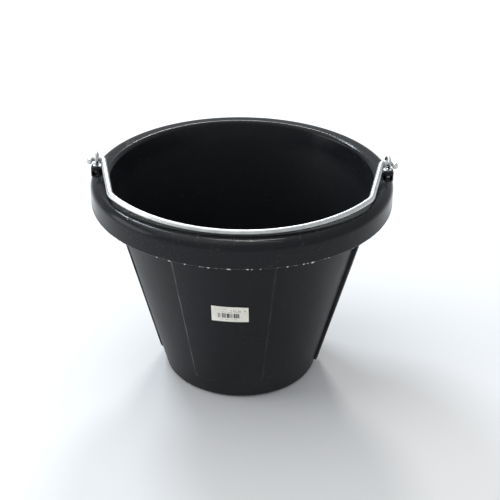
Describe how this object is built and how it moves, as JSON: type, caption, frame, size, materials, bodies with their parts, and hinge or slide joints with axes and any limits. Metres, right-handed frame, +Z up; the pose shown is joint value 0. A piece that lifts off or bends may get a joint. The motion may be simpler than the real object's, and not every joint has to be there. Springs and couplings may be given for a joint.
{
  "type": "feed bucket",
  "caption": "Tapered black rubber bucket with a thick rolled rim band, raised wall panels and a swinging galvanised wire bail held by eye bolts.",
  "frame": {"origin": "centre of the bucket's flat underside", "axes": "+X along the bail's pivot line to the right ear, -Y to the front where the bail lies when it is down, +Z up"},
  "size_m": [0.3268, 0.32, 0.2533],
  "materials": {
    "rubber": "moulded matte rubber with a slight sheen",
    "galvanised_wire": "satin galvanised",
    "zinc_hardware": "zinc plated, dulled",
    "label_paper": "matt paper"
  },
  "bodies": {
    "bucket": {"bucket_body": "rubber", "left_eye_bolt": "zinc_hardware", "left_upper_washer": "zinc_hardware", "left_lower_washer": "zinc_hardware", "left_nut": "zinc_hardware", "right_eye_bolt": "zinc_hardware", "right_upper_washer": "zinc_hardware", "right_lower_washer": "zinc_hardware", "right_nut": "zinc_hardware", "price_label": "label_paper"},
    "bail": {"bail_handle": "galvanised_wire"}
  },
  "joints": [
    {"name": "bail_swing", "type": "hinge", "parent": "bucket", "child": "bail", "pos_m": [0, 0, 0.2452], "axis": [-1, 0, 0], "range_deg": [0, 187.9]}
  ]
}
